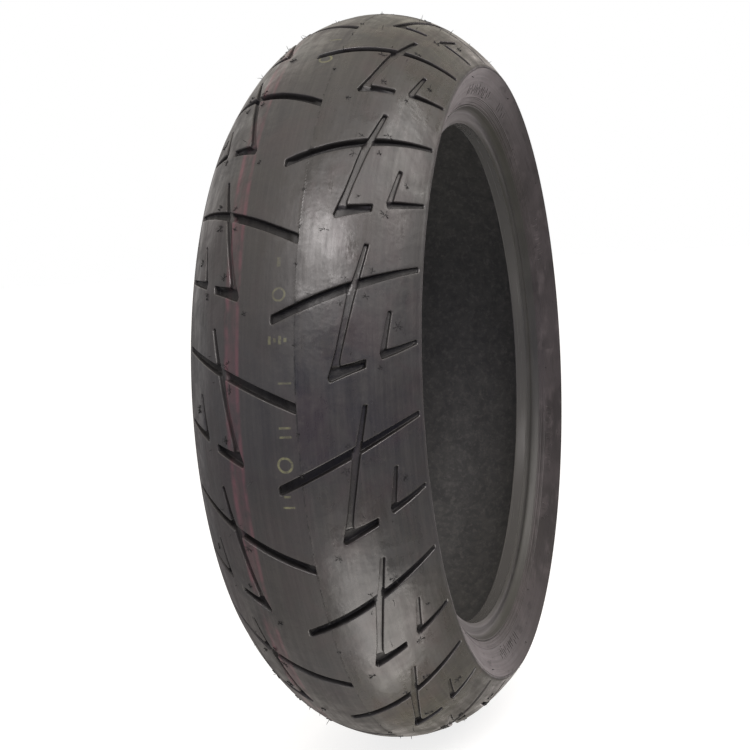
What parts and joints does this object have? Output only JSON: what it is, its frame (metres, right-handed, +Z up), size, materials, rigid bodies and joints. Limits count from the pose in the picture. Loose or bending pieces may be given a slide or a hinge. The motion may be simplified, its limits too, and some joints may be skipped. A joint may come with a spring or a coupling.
{
  "type": "motorcycle tire",
  "caption": "Rear radial motorcycle tyre, tubeless, with a round crown, angled rain grooves in the tread and open beads for a 17 inch rim.",
  "frame": {"origin": "centre of the tyre, on its turning axis and midway between the two sidewalls", "axes": "+Y along the turning axis to the tyre's left side, +Z up with the tyre standing on its tread at z = -0.315, +X the direction in which it rolls forwards"},
  "size_m": [0.63, 0.1804, 0.63],
  "materials": {
    "tread_rubber": "satin, warm dark grey",
    "base_rubber": "matte",
    "belt_cord": "rubber-coated cord wound round the crown",
    "ply_cord": "rubber-coated cord across the tyre",
    "liner_rubber": "matte, slightly mottled",
    "sidewall_rubber": "matte",
    "chafer_rubber": "smooth, satin",
    "filler_rubber": "matte",
    "bead_wire": "bronze-coated wire bundle"
  },
  "bodies": {
    "root": {"tread_cap": "tread_rubber", "tread_base": "base_rubber", "crown_belt": "belt_cord", "carcass_ply": "ply_cord", "inner_liner": "liner_rubber", "sidewall_left": "sidewall_rubber", "sidewall_right": "sidewall_rubber", "chafer_left": "chafer_rubber", "chafer_right": "chafer_rubber", "bead_filler_left": "filler_rubber", "bead_filler_right": "filler_rubber", "bead_core_left": "bead_wire", "bead_core_right": "bead_wire"}
  },
  "joints": []
}
